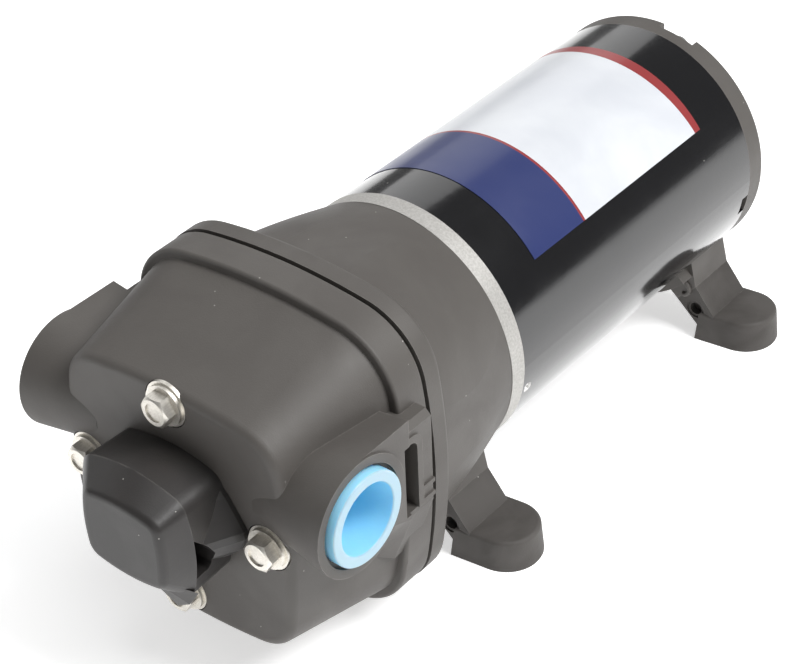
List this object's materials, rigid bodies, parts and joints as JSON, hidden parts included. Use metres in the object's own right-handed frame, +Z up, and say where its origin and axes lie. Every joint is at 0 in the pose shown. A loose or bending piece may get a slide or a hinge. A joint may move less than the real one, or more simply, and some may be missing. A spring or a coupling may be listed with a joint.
{
  "type": "diaphragm pressure pump",
  "caption": "Self-priming diaphragm water pump: round motor, square head with a plugged port on each side, front pressure switch, rubber feet.",
  "frame": {"origin": "on the surface that the feet stand on, halfway along and across the pump", "axes": "+Y along the pump towards the motor's end cap, +X towards the outlet side (the right port, seen from the front), +Z up"},
  "size_m": [0.1054, 0.2346, 0.0966],
  "materials": {
    "housing_plastic": "fine-grained dark grey",
    "switch_plastic": "smooth near-black",
    "plug_plastic": "light blue, soft sheen",
    "cast_plate": "cast, fine blasted",
    "can_paint": "gloss black",
    "label_print": "printed film with plain colour bands",
    "stainless": "stainless",
    "zinc_steel": "zinc plated",
    "foot_rubber": "matte dark grey",
    "valve_plastic": "off-white",
    "valve_rubber": "black",
    "magnet": "sintered ferrite",
    "core_steel": "laminated",
    "copper": "enamelled and bare copper",
    "carbon": "carbon, matte",
    "brush_board": "brown phenolic",
    "microswitch_plastic": "black",
    "button_plastic": "red",
    "bearing_steel": "ground",
    "contact_brass": "tinned brass"
  },
  "bodies": {
    "pump": {"pump_head": "housing_plastic", "lower_housing": "housing_plastic", "head_screws": "stainless", "head_screw_washers": "stainless", "valve_plate": "valve_plastic", "inlet_valves": "valve_rubber", "outlet_valve": "valve_rubber", "head_seals": "valve_rubber", "diaphragm": "valve_rubber", "motor_front_plate": "cast_plate", "motor_can": "can_paint", "motor_end_cap": "housing_plastic", "motor_tie_bolts": "zinc_steel", "motor_label": "label_print", "magnets": "magnet", "front_bearing": "bearing_steel", "rear_bearing": "bearing_steel", "brush_plate": "brush_board", "brushes": "carbon", "brush_springs": "zinc_steel", "switch_base": "switch_plastic", "switch_cap": "switch_plastic", "switch_diaphragm": "valve_rubber", "switch_spring": "zinc_steel", "microswitch": "microswitch_plastic", "switch_terminals": "contact_brass", "switch_base_screws": "zinc_steel", "front_right_foot": "foot_rubber", "front_left_foot": "foot_rubber", "rear_right_foot": "foot_rubber", "rear_left_foot": "foot_rubber", "rear_saddle": "housing_plastic", "saddle_screws": "zinc_steel"},
    "rotor": {"motor_shaft": "bearing_steel", "armature_core": "core_steel", "armature_windings": "copper", "commutator": "copper", "cam_hub": "cast_plate"},
    "wobbler": {"wobble_plate": "valve_plastic", "cam_bearing": "bearing_steel", "pistons": "valve_plastic", "piston_screws": "stainless"},
    "right_plug": {"right_port_plug": "plug_plastic"},
    "left_plug": {"left_port_plug": "plug_plastic"},
    "plunger": {"switch_plunger": "valve_plastic"},
    "button": {"microswitch_button": "button_plastic"}
  },
  "joints": [
    {"name": "rotor_spin", "type": "hinge", "parent": "pump", "child": "rotor", "pos_m": [0, 0, 0.05], "axis": [0, 1, 0], "continuous": true},
    {"name": "wobble_spin", "type": "hinge", "parent": "rotor", "child": "wobbler", "pos_m": [0, -0.05035, 0.05], "axis": [0, 0.9986, 0.0523], "continuous": true, "deforming": ["diaphragm"]},
    {"name": "right_plug_slide", "type": "slide", "parent": "pump", "child": "right_plug", "axis": [1, 0, 0], "range_m": [0, 0.02]},
    {"name": "left_plug_slide", "type": "slide", "parent": "pump", "child": "left_plug", "axis": [-1, 0, 0], "range_m": [0, 0.02]},
    {"name": "plunger_slide", "type": "slide", "parent": "pump", "child": "plunger", "axis": [0, -1, 0], "range_m": [0, 0.0012], "deforming": ["switch_spring", "switch_diaphragm"]},
    {"name": "button_slide", "type": "slide", "parent": "pump", "child": "button", "axis": [0, -1, 0], "range_m": [0, 0.0012]}
  ],
  "couplings": [
    {"joint": "wobble_spin", "follows": "rotor_spin", "ratio": -1},
    {"joint": "button_slide", "follows": "plunger_slide", "ratio": 1}
  ]
}
